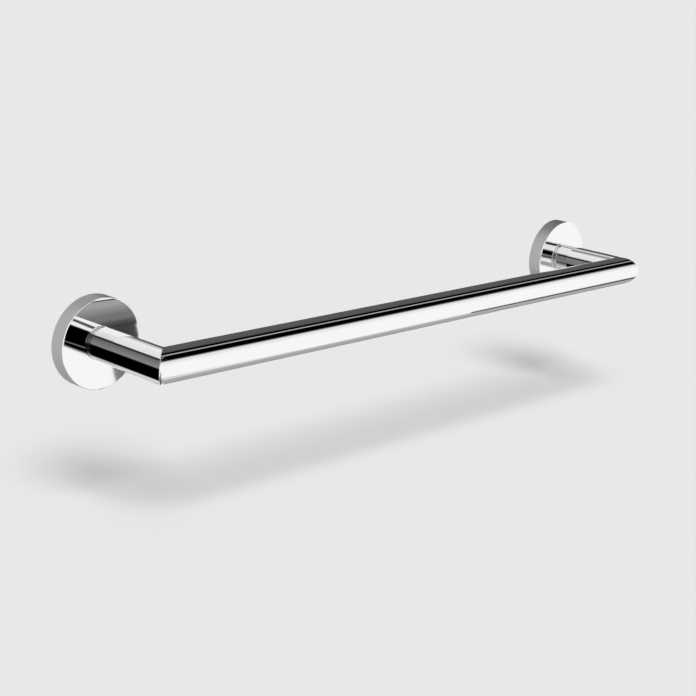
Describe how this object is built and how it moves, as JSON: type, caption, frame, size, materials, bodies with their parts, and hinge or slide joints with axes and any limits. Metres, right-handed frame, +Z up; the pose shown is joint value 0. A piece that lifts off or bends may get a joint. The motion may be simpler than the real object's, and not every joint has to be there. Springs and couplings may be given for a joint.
{
  "type": "towel rail",
  "caption": "Polished round towel bar, mitred to arms that stand on round rosettes with slotted wall brackets inside.",
  "frame": {"origin": "on the wall plane, at the centre of the four wall-screw slots, midway between the arms and level with the bar", "axes": "+X along the bar to the right as seen from the room, +Y into the wall, +Z up"},
  "size_m": [0.492, 0.0735, 0.054],
  "materials": {
    "tube_chrome": "mirror polished chrome plate on brass tube",
    "rosette_chrome": "mirror polished face, finely turned rim",
    "plug_chrome": "plated turned brass",
    "key_brass": "turned",
    "screw_steel": "zinc plated",
    "spring_steel": "oiled spring steel",
    "bracket_steel": "turned, zinc plated",
    "grub_steel": "plain stainless"
  },
  "bodies": {
    "root": {"rail_bar": "tube_chrome", "left_arm": "tube_chrome", "right_arm": "tube_chrome", "left_corner_key": "key_brass", "right_corner_key": "key_brass", "left_arm_plug": "plug_chrome", "right_arm_plug": "plug_chrome", "left_rosette": "rosette_chrome", "right_rosette": "rosette_chrome", "left_flat_washer": "screw_steel", "right_flat_washer": "screw_steel", "left_lock_washer": "spring_steel", "right_lock_washer": "spring_steel", "left_arm_screw": "screw_steel", "right_arm_screw": "screw_steel", "left_wall_bracket": "bracket_steel", "right_wall_bracket": "bracket_steel", "left_grub_screw": "grub_steel", "right_grub_screw": "grub_steel"}
  },
  "joints": []
}
